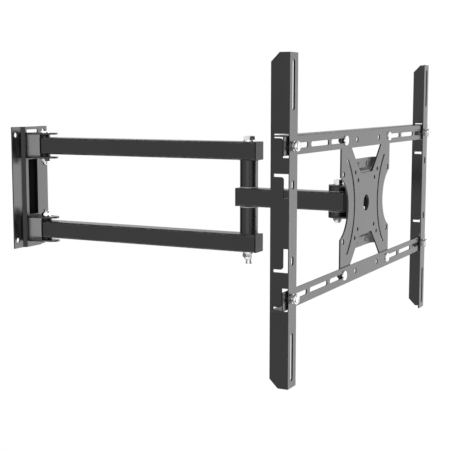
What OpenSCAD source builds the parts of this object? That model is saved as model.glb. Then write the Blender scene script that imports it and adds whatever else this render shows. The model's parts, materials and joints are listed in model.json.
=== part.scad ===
// Full motion wall mount for a flat screen, with twin lower and upper arms, one forearm,
// a swivel and tilt head and a two-rail screen frame.
// Frame: the wall is the plane Y = 0, the room is towards -Y, +X is to the right for
// someone who faces the wall, and +Z is up. The origin is the middle of the wall plate's
// back. The mount is drawn pulled straight out from the wall, with the screen frame
// parallel to it.

/* [Wall plate] */
// Width of the wall plate
wall_plate_w = 102; // [94:1:140]
// Height of the wall plate
wall_plate_h = 220; // [212:1:300]
// Sheet thickness of the wall plate
wall_plate_t = 2.5; // [2:0.1:4]
// Width of the raised middle face
rib_w = 41.5; // [41.5:0.5:50]
// How far the middle face is raised
rib_rise = 5.5; // [3:0.5:8]
// Width of the pan pressed back into the middle face
pan_w = 26; // [20:1:30]
// Thickness of the liner strip in the pan
liner_t = 1; // [0.5:0.1:2]
// Room round the rim of the liner strip
liner_gap = 0.5; // [0.2:0.1:1]
// Diameter of the two round wall screw holes
wall_hole_d = 9; // [6:0.5:10]
// Width of the two upright wall screw slots
wall_slot_w = 7.5; // [6:0.5:9]
// Overall length of the upright wall screw slots
wall_slot_l = 20; // [12:1:24]
// Distance from the middle of the plate to the wall screw holes, sideways
wall_hole_x = 40.5; // [38:0.5:42]
// Distance from the middle of the plate to the wall screw holes, upwards
wall_hole_z = 95.5; // [90:0.5:98]
// Length of the level slot above the upper hinge
stud_slot_l = 33; // [20:1:38]
// Height of the level slot above the upper hinge
stud_slot_h = 5.5; // [5:0.5:7]

/* [Arms] */
// Outside size of the square tubes
tube = 30; // [26:1:36]
// Wall thickness of the square tubes
tube_t = 2; // [1.5:0.1:3]
// Height of each arm's centre line above or below the middle
arm_z = 76; // [66:1:84]
// Distance from the wall to the wall hinge axis
hinge_reach = 36.5; // [34:0.5:50]
// Distance from the wall hinge axis to the elbow axis
arm_len = 412; // [300:1:520]
// Distance from the elbow axis to the head's swivel axis
forearm_len = 156; // [130:1:300]
// How far the arms run past the elbow axis, end cap included
arm_overhang = 19; // [18:0.5:30]
// How far the forearm runs past the elbow axis, end cap included
forearm_rear_overhang = 18.5; // [18:0.5:24]
// How far the forearm tube runs past the swivel axis
forearm_front_overhang = 14.5; // [14:0.5:15]
// Thickness of an end cap's visible plate
cap_t = 2; // [1.5:0.5:3]
// Length of the forearm's front cap outside the tube
nose_len = 8.5; // [4:0.5:8.5]

/* [Wall hinges] */
// Sheet thickness of the hinge brackets
hinge_t = 3; // [2.5:0.1:4]
// Width of the hinge bracket's back
hinge_w = 40; // [36:1:41]
// Free height between a hinge bracket's ear and the arm
hinge_gap = 5; // [3:0.5:6]
// Half width of the ear's round tip
ear_r = 11; // [9:0.5:12]
// How far the ear's tip reaches past the hinge axis
ear_tip = 26; // [20:1:28]
// Diameter of the wall hinge bolts
hinge_bolt_d = 10; // [8:1:12]
// Outside diameter of the arm's hinge barrel
barrel_d = 20; // [18:1:24]
// Outside diameter of the spacer bushes in the wall hinges
hinge_bush_d = 18.5; // [16:0.5:20]

/* [Elbow] */
// Diameter of the elbow bolt
elbow_bolt_d = 12; // [10:1:14]
// Outside diameter of the elbow's round columns
column_d = 30; // [26:1:32]
// Wall thickness of the elbow's round columns
column_t = 3; // [2:0.5:5]
// Outside diameter of the bearing tube in the forearm's elbow end
elbow_bush_d = 20; // [18:1:22]
// Thickness of the glide washers above and below the forearm
elbow_glide_t = 1.5; // [1:0.1:2]

/* [Swivel head] */
// Diameter of the swivel bolt
swivel_bolt_d = 8; // [6:1:10]
// Outside diameter of the bearing tube in the forearm's head end
swivel_bush_d = 16; // [14:1:18]
// Sheet thickness of the yoke
yoke_t = 3; // [2.5:0.1:4]
// Width of the yoke
yoke_w = 30; // [28:1:32]
// Height from the middle to the outside of the yoke's plates
yoke_half_h = 26; // [25:0.5:30]
// Thickness of the swivel glide washers
swivel_glide_t = 1; // [0.8:0.1:1.5]
// Distance from the swivel axis to the inside of the yoke's web
yoke_web_reach = 29.5; // [29.5:0.5:34]
// Distance from the yoke's web to the tilt axis
tilt_stand = 2; // [2:0.5:6]
// Diameter of the tilt bolt
tilt_bolt_d = 6; // [5:1:8]
// Radius of the yoke's tilt ears
tilt_ear_r = 7; // [6.5:0.5:10]
// Radius of the tilt bracket's cheeks
cheek_r = 8; // [7:0.5:9]
// Thickness of the tilt bracket and its cheeks
tilt_t = 2.5; // [2:0.1:3]
// Width of the tilt bracket
tilt_bracket_w = 48; // [42:1:52]

/* [Screen plate] */
// Sheet thickness of the screen plate
plate_t = 2.5; // [2:0.1:3]
// Width and height of the screen plate
plate_size = 222; // [218:1:240]
// Width of the screen plate at its waist
waist_w = 158; // [150:1:170]
// Height at which the concave sides begin, above and below the middle
waist_z = 46; // [40:1:60]
// Diameter of the hole in the middle
centre_hole_d = 25; // [16:1:28]
// Width of the curved slits
slit_w = 4.6; // [1.5:0.1:5]
// How far the recessed feet are pressed back
recess_depth = 7; // [5:0.5:8]
// Diameter of the screen screw holes
screen_hole_d = 6.5; // [4.5:0.1:7]
// Diameter of the screen plate's holes for a wider screen's screws
wide_hole_d = 8.5; // [6:0.1:9]

/* [Rails] */
// Overall length of the rails
rail_len = 646; // [646:1:700]
// Sheet thickness of the rails
rail_t = 2; // [1.5:0.1:2.5]
// Height of the rail below its bolt line, or above it on the lower rail
rail_inner = 11.8; // [10:0.1:14]
// Height of the rail above its bolt line, or below it on the lower rail
rail_outer = 14.5; // [12:0.1:15]
// Depth of the rail's bent flange
rail_flange = 18; // [12:0.5:18]

/* [Screen brackets] */
// Height of the two upright brackets
bracket_h = 440; // [436:1:500]
// Width of a bracket's front face
bracket_w = 26; // [24:0.5:30]
// Depth of a bracket's side flange
bracket_d = 27; // [27:0.5:32]
// Sheet thickness of the brackets
bracket_t = 2.5; // [2:0.1:3]
// Distance from the middle to each bracket's screws
bracket_x = 300; // [290:1:306]
// Width of the long slots for the screen's screws
bracket_slot_w = 7.5; // [5:0.5:8]
// Diameter of the bracket and rail screws
frame_bolt_d = 6; // [5:0.5:6]
// Height of the collar under a bracket screw's head
collar_t = 5; // [2:0.5:6]

/* [Fits] */
// Extra diameter of a bore that turns on its bolt
run_fit = 0.12; // [0.04:0.02:0.2]
// Extra diameter of a hole that a bolt only passes through
pass_fit = 0.4; // [0.2:0.1:1]
// Gap between pieces that slide or turn past each other
gap = 0.3; // [0.2:0.1:0.5]
// Gap between an end cap's spigot and its tube
cap_fit = 0.1; // [0:0.05:0.3]
// Room between a cap's spigot and the round tube that stands inside
cap_room = 1; // [0.5:0.1:2]
// Room between a rail and the slot it passes through
rail_room = 1.5; // [1:0.1:3]
// Extra height of a rail's slots over the screws in them
slot_fit = 1; // [0.5:0.1:2]
// Room between the yoke's tilt ears and the strap behind them
ear_room = 0.5; // [0.3:0.1:2]

/* [Hidden] */
$fn = 64;
eps = 0.01;

// Paint and metal
coat = [0.16, 0.16, 0.17];
coat_dark = [0.10, 0.10, 0.11];
zinc = [0.78, 0.79, 0.80];
plastic = [0.05, 0.05, 0.05];
nylon = [0.85, 0.85, 0.82];

// The joints' axes, all in front of the wall
hinge_y = -hinge_reach;
elbow_y = hinge_y - arm_len;
swivel_y = elbow_y - forearm_len;
tilt_y = swivel_y - yoke_web_reach - yoke_t - tilt_stand;

// The wall plate's front, and the hinge brackets that stand on it
rib_front = -(rib_rise + wall_plate_t);
hinge_front = rib_front - hinge_t;
half_tube = tube / 2;
hinge_inner = half_tube + hinge_gap;
hinge_outer = hinge_inner + hinge_t;
bend_shift = wall_plate_t * tan(22.5);
pan_h = 2 * (arm_z - hinge_outer) - 2 * wall_plate_t;
stud_slot_z = arm_z + hinge_outer + stud_slot_h / 2 + gap;
ear_flare = 3;
ear_shoulder = 5;
ear_neck = 4;
hinge_head_h = 3;
hinge_head_d = 1.8 * hinge_bolt_d;
hinge_nut_af = 1.6 * hinge_bolt_d;
hinge_nut_h = 0.8 * hinge_bolt_d;
hinge_bolt_end = 4;

// Arms and elbow
tube_start = 2;
arm_start_y = hinge_y - tube_start;
arm_end_y = elbow_y - arm_overhang + cap_t;
forearm_start_y = elbow_y + forearm_rear_overhang - cap_t;
forearm_end_y = swivel_y - forearm_front_overhang;
arm_top = arm_z + half_tube;
arm_bottom = arm_z - half_tube;
spacer_d = elbow_bolt_d + 6;
cap_corner = 1.5;
cap_wall = 2;
cap_floor = 1;
arm_cap_depth = arm_overhang - cap_t - spacer_d / 2 - cap_room;
rear_cap_depth = forearm_rear_overhang - cap_t - elbow_bush_d / 2 - cap_room;
front_cap_depth = forearm_front_overhang - swivel_bush_d / 2 - cap_room;
elbow_head_af = 1.5 * elbow_bolt_d;
elbow_head_h = 0.6 * elbow_bolt_d;
elbow_nut_h = 0.85 * elbow_bolt_d;
elbow_washer_t = 2;
elbow_washer_d = 1.7 * elbow_bolt_d;
elbow_bolt_end = 9;

// Head
yoke_inner = yoke_half_h - yoke_t;
yoke_web_in = swivel_y - yoke_web_reach;
yoke_web_out = yoke_web_in - yoke_t;
swivel_head_af = 1.6 * swivel_bolt_d;
swivel_head_h = 0.85 * swivel_bolt_d;
swivel_washer_t = 1.6;
swivel_washer_d = 2 * swivel_bolt_d;
swivel_bolt_end = 2.2;
cheek_in = yoke_w / 2 + gap;
cheek_out = cheek_in + tilt_t;
tilt_washer_t = 1.2;
tilt_washer_d = 2 * tilt_bolt_d;
tilt_head_af = 10 / 6 * tilt_bolt_d;
tilt_head_h = 0.7 * tilt_bolt_d;
tilt_nut_h = 0.85 * tilt_bolt_d;

// Screen plate, from its back at plate_back to its front at plate_front
plate_back = tilt_y - tilt_ear_r - ear_room - tilt_t;
plate_front = plate_back - plate_t;
half_plate = plate_size / 2;
foot_back = plate_back + recess_depth;
vesa_far = 100;
vesa_mid = 50;
vesa_near = 37.5;
opening_z = 69;
opening_w = 49;
recess_z = 47.5;
recess_w = 27;
recess_rim = 1;
strap_bend_z = recess_z - 5.5;
strap_foot_z = opening_z - 1;
cheek_root = 3;
rivet_x = 19.5;
rivet_z = 60;
rivet_d = 5;
rivet_head_d = 8;
rivet_head_t = 1.2;
slit_end_x = 84;
slit_end_z = 71;
slit_mid_x = 53;
plate_corner = 4;

// Rails, in front of the screen plate
rail_back = plate_front;
rail_front = rail_back - rail_t;
rail_z = vesa_far;
rail_hole_d = 8.5;
rail_slot_h = frame_bolt_d + slot_fit;
// Inner and outer end of each rail slot, from the middle of the rail. The first one's
// rounded end is round a rail bolt
rail_slots = [[vesa_far - rail_slot_h / 2, 157], [167, 232], [243, rail_len / 2 - 8]];
bolt_proud = 1.5;

// Brackets, in front of the rails
bracket_back = rail_front - gap;
bracket_front = bracket_back - bracket_t;
bracket_outer = bracket_x + bracket_w / 2 - 1;
bracket_inner = bracket_outer - bracket_w;
bracket_tail = bracket_front + bracket_d;
frame_head_d = 2.5 * frame_bolt_d;
frame_head_t = 0.45 * frame_bolt_d;
frame_nut_af = 10 / 6 * frame_bolt_d;
frame_nut_h = 5 / 6 * frame_bolt_d;
screw_head_d = frame_bolt_d + 8;
screw_head_h = 4;
screw_cross = [6, 1.4, 2];
screw_cross_depth = 1.8;
collar_d = frame_bolt_d + 6.5;
bracket_cut = 12;
// The slot that the rail passes through, and a spare one nearer the middle
leg_w = 7.5;
leg_h = 5.5;
leg_room = 3;
spare_slot = [33, 64.5];
spare_leg_w = 6;
spare_leg_h = 4;
tongue_r = 4;
// What is left of the front face beside those slots
slot_skin = 1;
long_slot_z = 178.5;
long_slot_l = 65;
short_slot_l = 12;

// ---------------------------------------------------------------- shared shapes

// A hexagon, measured across its flats
module hex(af, h) {
    cylinder(d = af / cos(30), h = h, $fn = 6);
}

// A hexagon with its outer corners turned off, as on a real bolt head
module turned_hex(af, h) {
    intersection() {
        hex(af, h);
        union() {
            cylinder(d = 1.16 * af, h = h - 0.12 * af);
            translate([0, 0, h - 0.12 * af]) cylinder(d1 = 1.16 * af, d2 = 0.94 * af, h = 0.12 * af);
        }
    }
}

// A ring that stands on Z = 0
module ring(od, id, h) {
    difference() {
        cylinder(d = od, h = h);
        translate([0, 0, -eps]) cylinder(d = id, h = h + 2 * eps);
    }
}

// A box given by its lowest and highest corner
module span(low, high) {
    translate(low) cube(high - low);
}

// A flat slot, rounded at both ends, of overall length l along X
module slot2d(l, w) {
    square([l - w, w], center = true);
    for (side = [-1, 1]) translate([side * (l - w) / 2, 0]) circle(d = w);
}

// A slab of a flat outline that stands in the XZ plane, from y0 to y1
module slab(y0, y1) {
    translate([0, y1, 0]) rotate([90, 0, 0]) linear_extrude(height = y1 - y0) children();
}

// A bolt's shank that stands on Z = 0, with its free end chamfered
module shank(d, h) {
    tip = 0.1 * d;
    cylinder(d1 = d - 2 * tip, d2 = d, h = tip);
    translate([0, 0, tip]) cylinder(d = d, h = h - tip);
}

// A hexagon nut that stands on Z = 0
module nut(af, h, d) {
    difference() {
        turned_hex(af, h);
        translate([0, 0, -eps]) cylinder(d = d, h = h + 2 * eps);
    }
}

// Square tube along Y, from y0 (nearer the wall) to y1, centred at height z
module square_tube(y0, y1, z) {
    inner = half_tube - tube_t;
    difference() {
        span([-half_tube, y1, z - half_tube], [half_tube, y0, z + half_tube]);
        span([-inner, y1 - eps, z - inner], [inner, y0 + eps, z + inner]);
    }
}

// Square with rounded corners, centred
module soft_square(size, corner) {
    inner = size - 2 * corner;
    square([size, inner], center = true);
    square([inner, size], center = true);
    for (x = [-1, 1]) for (z = [-1, 1]) translate([x * inner / 2, z * inner / 2]) circle(r = corner);
}

// Plate and hollow spigot of an end cap. The plate sits at y, and the spigot points to dir
module end_cap(y, z, dir, depth) {
    spigot = half_tube - tube_t - cap_fit;
    low = min(y, y - dir * cap_t);
    translate([0, low + cap_t, z]) rotate([90, 0, 0])
        linear_extrude(height = cap_t) soft_square(tube, cap_corner);
    low_spigot = min(y, y + dir * depth);
    difference() {
        span([-spigot, low_spigot, z - spigot], [spigot, low_spigot + depth, z + spigot]);
        span([-spigot + cap_wall, low_spigot + (dir > 0 ? cap_floor : -eps), z - spigot + cap_wall],
             [spigot - cap_wall, low_spigot + depth + (dir > 0 ? eps : -cap_floor), z + spigot - cap_wall]);
    }
}

// ---------------------------------------------------------------- wall plate

// Section of the pressed wall plate, seen from above
module wall_section() {
    half = wall_plate_w / 2;
    top = rib_w / 2;
    foot = top + rib_rise;
    polygon([
        [-half, 0], [-foot + bend_shift, 0], [-top + bend_shift, -rib_rise],
        [top - bend_shift, -rib_rise], [foot - bend_shift, 0], [half, 0],
        [half, -wall_plate_t], [foot, -wall_plate_t], [top, rib_front],
        [-top, rib_front], [-foot, -wall_plate_t], [-half, -wall_plate_t]
    ]);
}

module wall_plate() {
    half_pan = pan_w / 2;
    pan_wall = half_pan + wall_plate_t;
    color(coat) {
        difference() {
            translate([0, 0, -wall_plate_h / 2]) linear_extrude(height = wall_plate_h) wall_section();
            span([-half_pan, rib_front - eps, -pan_h / 2], [half_pan, eps, pan_h / 2]);
            for (end = [-1, 1]) {
                translate([-wall_hole_x, 0, end * wall_hole_z])
                    slab(-wall_plate_t - eps, eps) circle(d = wall_hole_d);
                translate([wall_hole_x, 0, end * wall_hole_z])
                    slab(-wall_plate_t - eps, eps) rotate(90) slot2d(wall_slot_l, wall_slot_w);
            }
            translate([0, 0, stud_slot_z])
                slab(rib_front - eps, eps) slot2d(stud_slot_l, stud_slot_h);
        }
        difference() {
            span([-pan_wall, rib_front + wall_plate_t - eps, -pan_h / 2 - wall_plate_t],
                 [pan_wall, 0, pan_h / 2 + wall_plate_t]);
            span([-half_pan, rib_front - eps, -pan_h / 2], [half_pan, -wall_plate_t, pan_h / 2]);
        }
    }
}

// Thin strip that lines the floor of the pan
module pan_liner() {
    half_w = pan_w / 2 - liner_gap;
    half_h = pan_h / 2 - liner_gap;
    color(plastic) span([-half_w, -wall_plate_t - liner_t, -half_h], [half_w, -wall_plate_t, half_h]);
}

// ---------------------------------------------------------------- wall hinges

// Outline of a hinge ear: wide where it is bent from the back, round at its tip
module ear_outline() {
    tip_y = hinge_y - ear_tip + ear_r;
    neck = ear_r + ear_flare;
    polygon([
        [-hinge_w / 2, rib_front], [-hinge_w / 2, hinge_front - ear_shoulder],
        [-neck, hinge_y - ear_neck], [-ear_r, tip_y], [ear_r, tip_y],
        [neck, hinge_y - ear_neck], [hinge_w / 2, hinge_front - ear_shoulder],
        [hinge_w / 2, rib_front]
    ]);
    translate([0, tip_y]) circle(r = ear_r);
}

// Pressed U bracket with two ears, welded to the raised face
module hinge_bracket(z) {
    color(coat) difference() {
        union() {
            span([-hinge_w / 2, hinge_front, z - hinge_outer], [hinge_w / 2, rib_front, z + hinge_outer]);
            for (low = [z - hinge_outer, z + hinge_inner])
                translate([0, 0, low]) linear_extrude(height = hinge_t) ear_outline();
        }
        translate([0, hinge_y, z - hinge_outer - eps])
            cylinder(d = hinge_bolt_d + pass_fit, h = 2 * hinge_outer + 2 * eps);
    }
}

module upper_hinge_bracket() { hinge_bracket(arm_z); }
module lower_hinge_bracket() { hinge_bracket(-arm_z); }

// Low round head, shank and bare end, drawn head up at the bracket's outside
module hinge_bolt(z, up) {
    color(zinc) translate([0, hinge_y, z]) rotate([up > 0 ? 0 : 180, 0, 0]) {
        translate([0, 0, hinge_outer])
            cylinder(d1 = hinge_head_d, d2 = 0.8 * hinge_head_d, h = hinge_head_h);
        shank_l = 2 * hinge_outer + hinge_nut_h + hinge_bolt_end;
        translate([0, 0, hinge_outer - shank_l]) shank(hinge_bolt_d, shank_l);
    }
}

module upper_hinge_bolt() { hinge_bolt(arm_z, 1); }
module lower_hinge_bolt() { hinge_bolt(-arm_z, -1); }

// The nut is on the side of the bracket that faces the middle of the plate
module hinge_nut(z, up) {
    color(zinc) translate([0, hinge_y, z]) rotate([up > 0 ? 180 : 0, 0, 0])
        translate([0, 0, hinge_outer]) nut(hinge_nut_af, hinge_nut_h, hinge_bolt_d);
}

module upper_hinge_nut() { hinge_nut(arm_z, 1); }
module lower_hinge_nut() { hinge_nut(-arm_z, -1); }

// Bushes that fill the gap between the ears and the arm
module hinge_bushes(z) {
    bush_h = hinge_gap - gap;
    color(plastic) for (low = [z - hinge_inner, z + half_tube + gap])
        translate([0, hinge_y, low]) ring(hinge_bush_d, hinge_bolt_d + pass_fit, bush_h);
}

module upper_hinge_bushes() { hinge_bushes(arm_z); }
module lower_hinge_bushes() { hinge_bushes(-arm_z); }

// ---------------------------------------------------------------- twin arms

// Arm tube, notched round its barrel and drilled for the elbow bolt
module arm_tube(z) {
    color(coat) difference() {
        square_tube(arm_start_y, arm_end_y, z);
        translate([0, hinge_y, z - half_tube - eps]) cylinder(d = barrel_d, h = tube + 2 * eps);
        translate([0, elbow_y, z - half_tube - eps])
            cylinder(d = elbow_bolt_d + pass_fit, h = tube + 2 * eps);
    }
}

module upper_arm_tube() { arm_tube(arm_z); }
module lower_arm_tube() { arm_tube(-arm_z); }

// Barrel welded into the notched end of the arm, which turns on the hinge bolt
module arm_barrel(z) {
    color(coat) translate([0, hinge_y, z - half_tube])
        ring(barrel_d, hinge_bolt_d + run_fit, tube);
}

module upper_arm_barrel() { arm_barrel(arm_z); }
module lower_arm_barrel() { arm_barrel(-arm_z); }

module upper_arm_cap() { color(plastic) end_cap(arm_end_y, arm_z, 1, arm_cap_depth); }
module lower_arm_cap() { color(plastic) end_cap(arm_end_y, -arm_z, 1, arm_cap_depth); }

// Tubes inside the arms that keep the elbow bolt from crushing them
module arm_spacers() {
    inner = half_tube - tube_t;
    color(zinc) for (z = [-arm_z, arm_z])
        translate([0, elbow_y, z - inner]) ring(spacer_d, elbow_bolt_d + pass_fit, 2 * inner);
}

// ---------------------------------------------------------------- elbow

column_foot = half_tube + gap + elbow_glide_t;

module elbow_upper_column() {
    color(coat) translate([0, elbow_y, column_foot])
        ring(column_d, column_d - 2 * column_t, arm_bottom - column_foot);
}

module elbow_lower_column() {
    color(coat) translate([0, elbow_y, -arm_bottom])
        ring(column_d, column_d - 2 * column_t, arm_bottom - column_foot);
}

// One long bolt holds both arms, both columns and the forearm
module elbow_bolt() {
    head_z = arm_top + elbow_washer_t;
    end_z = -arm_top - elbow_washer_t - elbow_nut_h - elbow_bolt_end;
    color(zinc) translate([0, elbow_y, 0]) {
        translate([0, 0, head_z]) turned_hex(elbow_head_af, elbow_head_h);
        translate([0, 0, end_z]) shank(elbow_bolt_d, head_z - end_z);
    }
}

module elbow_nut() {
    color(zinc) translate([0, elbow_y, -arm_top - elbow_washer_t]) rotate([180, 0, 0])
        nut(elbow_head_af, elbow_nut_h, elbow_bolt_d);
}

module elbow_washers() {
    color(zinc) for (z = [arm_top, -arm_top - elbow_washer_t])
        translate([0, elbow_y, z]) ring(elbow_washer_d, elbow_bolt_d + pass_fit, elbow_washer_t);
}

// Nylon washers between the columns and the forearm
module elbow_glides() {
    color(nylon) for (z = [half_tube + gap, -column_foot])
        translate([0, elbow_y, z]) ring(column_d, elbow_bolt_d + pass_fit, elbow_glide_t);
}

// ---------------------------------------------------------------- forearm

module forearm_tube() {
    color(coat) difference() {
        square_tube(forearm_start_y, forearm_end_y, 0);
        translate([0, elbow_y, -half_tube - eps]) cylinder(d = elbow_bush_d, h = tube + 2 * eps);
        translate([0, swivel_y, -half_tube - eps]) cylinder(d = swivel_bush_d, h = tube + 2 * eps);
    }
}

module forearm_elbow_bush() {
    color(coat) translate([0, elbow_y, -half_tube]) ring(elbow_bush_d, elbow_bolt_d + run_fit, tube);
}

module forearm_swivel_bush() {
    color(coat) translate([0, swivel_y, -half_tube])
        ring(swivel_bush_d, swivel_bolt_d + run_fit, tube);
}

module forearm_rear_cap() {
    color(plastic) end_cap(forearm_start_y, 0, -1, rear_cap_depth);
}

// Longer cap at the head end, with a shallow spigot that stops short of the bearing tube
module forearm_front_cap() {
    spigot = half_tube - tube_t - cap_fit;
    color(plastic) {
        slab(forearm_end_y - nose_len, forearm_end_y) soft_square(tube, cap_corner);
        span([-spigot, forearm_end_y, -spigot], [spigot, forearm_end_y + front_cap_depth, spigot]);
    }
}

// ---------------------------------------------------------------- swivel and tilt head

// Yoke: two plates that hold the swivel bolt, a web, and two ears for the tilt bolt
module swivel_yoke() {
    half = yoke_w / 2;
    color(coat) difference() {
        union() {
            for (low = [-yoke_half_h, yoke_inner]) translate([0, 0, low]) linear_extrude(height = yoke_t) {
                translate([0, swivel_y]) circle(d = yoke_w);
                translate([-half, yoke_web_out]) square([yoke_w, swivel_y - yoke_web_out]);
            }
            span([-half, yoke_web_out, -yoke_half_h], [half, yoke_web_in, yoke_half_h]);
            for (x = [-half, half - yoke_t]) {
                translate([x, tilt_y, 0]) rotate([0, 90, 0]) cylinder(r = tilt_ear_r, h = yoke_t);
                span([x, tilt_y, -tilt_ear_r], [x + yoke_t, yoke_web_out + eps, tilt_ear_r]);
            }
        }
        translate([0, swivel_y, -yoke_half_h - eps])
            cylinder(d = swivel_bolt_d + pass_fit, h = 2 * yoke_half_h + 2 * eps);
        translate([-half - eps, tilt_y, 0]) rotate([0, 90, 0])
            cylinder(d = tilt_bolt_d + run_fit, h = yoke_w + 2 * eps);
    }
}

// Round bosses between the yoke's plates and the forearm
boss_foot = half_tube + gap + swivel_glide_t;

module swivel_upper_boss() {
    color(coat) translate([0, swivel_y, boss_foot])
        ring(yoke_w, swivel_bolt_d + pass_fit, yoke_inner - boss_foot);
}

module swivel_lower_boss() {
    color(coat) translate([0, swivel_y, -yoke_inner])
        ring(yoke_w, swivel_bolt_d + pass_fit, yoke_inner - boss_foot);
}

module swivel_bolt() {
    head_z = yoke_half_h + swivel_washer_t;
    end_z = -yoke_half_h - swivel_head_h - swivel_bolt_end;
    color(zinc) translate([0, swivel_y, 0]) {
        translate([0, 0, head_z]) turned_hex(swivel_head_af, swivel_head_h);
        translate([0, 0, end_z]) shank(swivel_bolt_d, head_z - end_z);
    }
}

module swivel_nut() {
    color(zinc) translate([0, swivel_y, -yoke_half_h]) rotate([180, 0, 0])
        nut(swivel_head_af, swivel_head_h, swivel_bolt_d);
}

module swivel_washer() {
    color(zinc) translate([0, swivel_y, yoke_half_h])
        ring(swivel_washer_d, swivel_bolt_d + pass_fit, swivel_washer_t);
}

module swivel_glides() {
    color(nylon) for (z = [half_tube + gap, -boss_foot])
        translate([0, swivel_y, z]) ring(yoke_w, swivel_bolt_d + pass_fit, swivel_glide_t);
}

// Strap riveted behind the screen plate's recessed feet, with two cheeks for the tilt bolt
module tilt_bracket() {
    strap_in = plate_back + tilt_t;
    foot_in = foot_back + tilt_t;
    jog_z = strap_bend_z + recess_depth;
    shift = tilt_t * tan(22.5);
    half = tilt_bracket_w / 2;
    color(coat_dark) difference() {
        union() {
            translate([-half, 0, 0]) rotate([90, 0, 90]) linear_extrude(height = 2 * half) polygon([
                [plate_back, -strap_bend_z], [foot_back, -jog_z], [foot_back, -strap_foot_z],
                [foot_in, -strap_foot_z], [foot_in, shift - jog_z], [strap_in, shift - strap_bend_z],
                [strap_in, strap_bend_z - shift], [foot_in, jog_z - shift], [foot_in, strap_foot_z],
                [foot_back, strap_foot_z], [foot_back, jog_z], [plate_back, strap_bend_z]
            ]);
            for (x = [-cheek_out, cheek_in]) {
                translate([x, tilt_y, 0]) rotate([0, 90, 0]) cylinder(r = cheek_r, h = tilt_t);
                span([x, strap_in - eps, -cheek_r], [x + tilt_t, tilt_y, cheek_r]);
                span([x, strap_in - eps, -2 * cheek_r], [x + tilt_t, strap_in + cheek_root, 2 * cheek_r]);
            }
        }
        translate([-half - eps, tilt_y, 0]) rotate([0, 90, 0])
            cylinder(d = tilt_bolt_d + pass_fit, h = 2 * half + 2 * eps);
        slab(plate_back - eps, strap_in + eps) circle(d = centre_hole_d);
        for (x = [-rivet_x, rivet_x]) for (z = [-rivet_z, rivet_z]) translate([x, 0, z])
            slab(foot_back - eps, foot_in + eps) circle(d = rivet_d);
    }
}

// The tilt bolt's head is on the left and its nut on the right
module tilt_bolt() {
    seat = cheek_out + tilt_washer_t;
    end_x = seat + tilt_nut_h + bolt_proud;
    color(zinc) translate([0, tilt_y, 0]) {
        translate([-seat, 0, 0]) rotate([0, -90, 0]) turned_hex(tilt_head_af, tilt_head_h);
        translate([end_x, 0, 0]) rotate([0, -90, 0]) shank(tilt_bolt_d, seat + end_x);
    }
}

module tilt_nut() {
    color(zinc) translate([cheek_out + tilt_washer_t, tilt_y, 0]) rotate([0, 90, 0])
        nut(tilt_head_af, tilt_nut_h, tilt_bolt_d);
}

module tilt_washers() {
    color(zinc) for (x = [-cheek_out - tilt_washer_t, cheek_out])
        translate([x, tilt_y, 0]) rotate([0, 90, 0])
            ring(tilt_washer_d, tilt_bolt_d + pass_fit, tilt_washer_t);
}

// ---------------------------------------------------------------- screen plate

// Circle radius of an arc with the given half chord and depth
function arc_r(chord, depth) = (chord * chord + depth * depth) / (2 * depth);

// Four legs, concave sides, and openings between the legs at the top and bottom
module plate_outline() {
    waist_depth = half_plate - waist_w / 2;
    r = arc_r(waist_z, waist_depth);
    difference() {
        soft_square(plate_size, plate_corner);
        for (side = [-1, 1]) {
            translate([side * (waist_w / 2 + r), 0]) circle(r = r);
            spread = opening_w + half_plate - opening_z;
            polygon([
                [-opening_w, side * opening_z], [opening_w, side * opening_z],
                [spread + 1, side * (half_plate + 1)], [-spread - 1, side * (half_plate + 1)]
            ]);
        }
    }
}

// Long thin slit along an arc that bows towards the middle
module slit(side) {
    depth = slit_end_x - slit_mid_x;
    r = arc_r(slit_end_z, depth);
    translate([side * (slit_mid_x + r), 0]) intersection() {
        difference() {
            circle(r = r + slit_w / 2, $fn = 180);
            circle(r = r - slit_w / 2, $fn = 180);
        }
        translate([-side * r / 2 - side * slit_mid_x / 2, 0])
            square([r, 2 * slit_end_z], center = true);
    }
}

// Outline of a recess, narrower by inset at its foot
module recess_outline(inset) {
    polygon([
        [-recess_w + inset, recess_z + inset], [recess_w - inset, recess_z + inset],
        [opening_w - inset, opening_z], [-opening_w + inset, opening_z]
    ]);
}

// Pan of one recess, with sloping walls and an open outer end
module recess_pan() {
    floor_y = foot_back - plate_t;
    difference() {
        hull() {
            slab(plate_back, plate_back + eps) recess_outline(-recess_rim);
            slab(foot_back - eps, foot_back) recess_outline(recess_depth - recess_rim);
        }
        hull() {
            slab(plate_front - eps, plate_front) recess_outline(0);
            slab(floor_y - eps, floor_y) recess_outline(recess_depth);
            slab(floor_y - eps, floor_y) translate([0, recess_rim]) recess_outline(recess_depth);
        }
    }
}

module screen_plate() {
    color(coat) difference() {
        union() {
            difference() {
                slab(plate_front, plate_back) plate_outline();
                for (side = [0, 1]) mirror([0, 0, side]) slab(plate_front - eps, plate_back + eps)
                    translate([0, eps]) recess_outline(0);
            }
            for (side = [0, 1]) mirror([0, 0, side]) recess_pan();
        }
        slab(plate_front - eps, plate_back + eps) {
            circle(d = centre_hole_d);
            for (side = [-1, 1]) slit(side);
            for (x = [-1, 1]) for (z = [-1, 1]) {
                translate([x * vesa_far, z * vesa_mid]) circle(d = wide_hole_d);
                translate([x * vesa_mid, z * vesa_mid]) circle(d = screen_hole_d);
                translate([x * vesa_near, z * vesa_near]) circle(d = screen_hole_d);
                translate([x * vesa_far, z * vesa_far]) circle(d = frame_bolt_d + pass_fit);
            }
        }
        for (x = [-rivet_x, rivet_x]) for (z = [-rivet_z, rivet_z]) translate([x, 0, z])
            slab(foot_back - plate_t - eps, foot_back + eps) circle(d = rivet_d);
    }
}

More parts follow.
